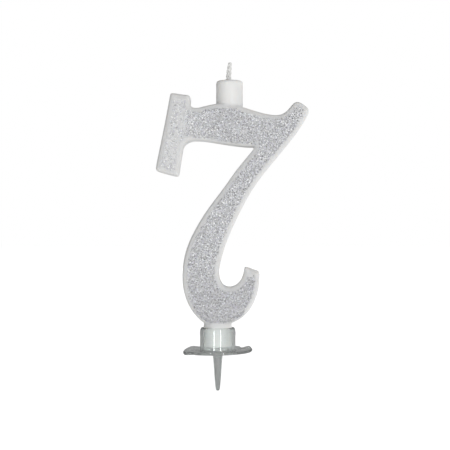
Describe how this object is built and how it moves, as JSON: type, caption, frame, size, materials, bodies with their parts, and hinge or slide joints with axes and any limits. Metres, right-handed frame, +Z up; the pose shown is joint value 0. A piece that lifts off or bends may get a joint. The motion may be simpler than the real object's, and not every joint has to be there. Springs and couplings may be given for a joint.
{
  "type": "number birthday candle",
  "caption": "Wax candle in the shape of a figure seven with a glitter front and a short plaited wick, standing in a clear plastic cake holder with a petal plate and a spike.",
  "frame": {"origin": "on the holder's axis, where the spike meets the underside of the petal plate, which is the level of the cake's top", "axes": "+Z up along the holder's axis, +X to the figure's right seen from its glitter front, +Y from the front to the back"},
  "size_m": [0.0489, 0.0222, 0.1056],
  "materials": {
    "wax": null,
    "glitter": "silver glitter flakes in clear lacquer",
    "wick": "plaited cotton, waxed",
    "holder": "translucent grey moulded plastic, glossy"
  },
  "bodies": {
    "holder": {"candle_holder": "holder"},
    "candle": {"wax_numeral": "wax", "glitter_coat": "glitter", "wick_strand_1": "wick", "wick_strand_2": "wick", "wick_strand_3": "wick"}
  },
  "joints": [
    {"name": "candle_lift", "type": "slide", "parent": "holder", "child": "candle", "axis": [0, 0, 1], "range_m": [0, 0.012]}
  ]
}
